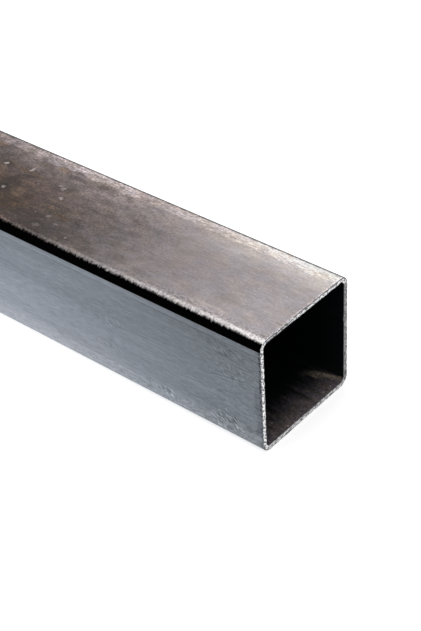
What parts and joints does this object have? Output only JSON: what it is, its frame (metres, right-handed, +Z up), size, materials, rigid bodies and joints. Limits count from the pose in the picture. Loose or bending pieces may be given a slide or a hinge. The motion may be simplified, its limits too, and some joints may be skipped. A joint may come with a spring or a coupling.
{
  "type": "square metal tube",
  "caption": "Square hollow steel section for building frames, with rounded corners and a weld bead along the inside of a wall, sawn square at its ends.",
  "frame": {"origin": "on the floor, in the middle of the flat that the tube lies on", "axes": "+X along the tube to the sawn end, +Y to the wall that has the weld bead inside, +Z up"},
  "size_m": [1, 0.05, 0.05],
  "materials": {
    "mill_steel": "bare cold-formed mill finish with fine lengthwise drawing lines, light handling stains and sawn ends"
  },
  "bodies": {
    "root": {"square_tube": "mill_steel"}
  },
  "joints": []
}
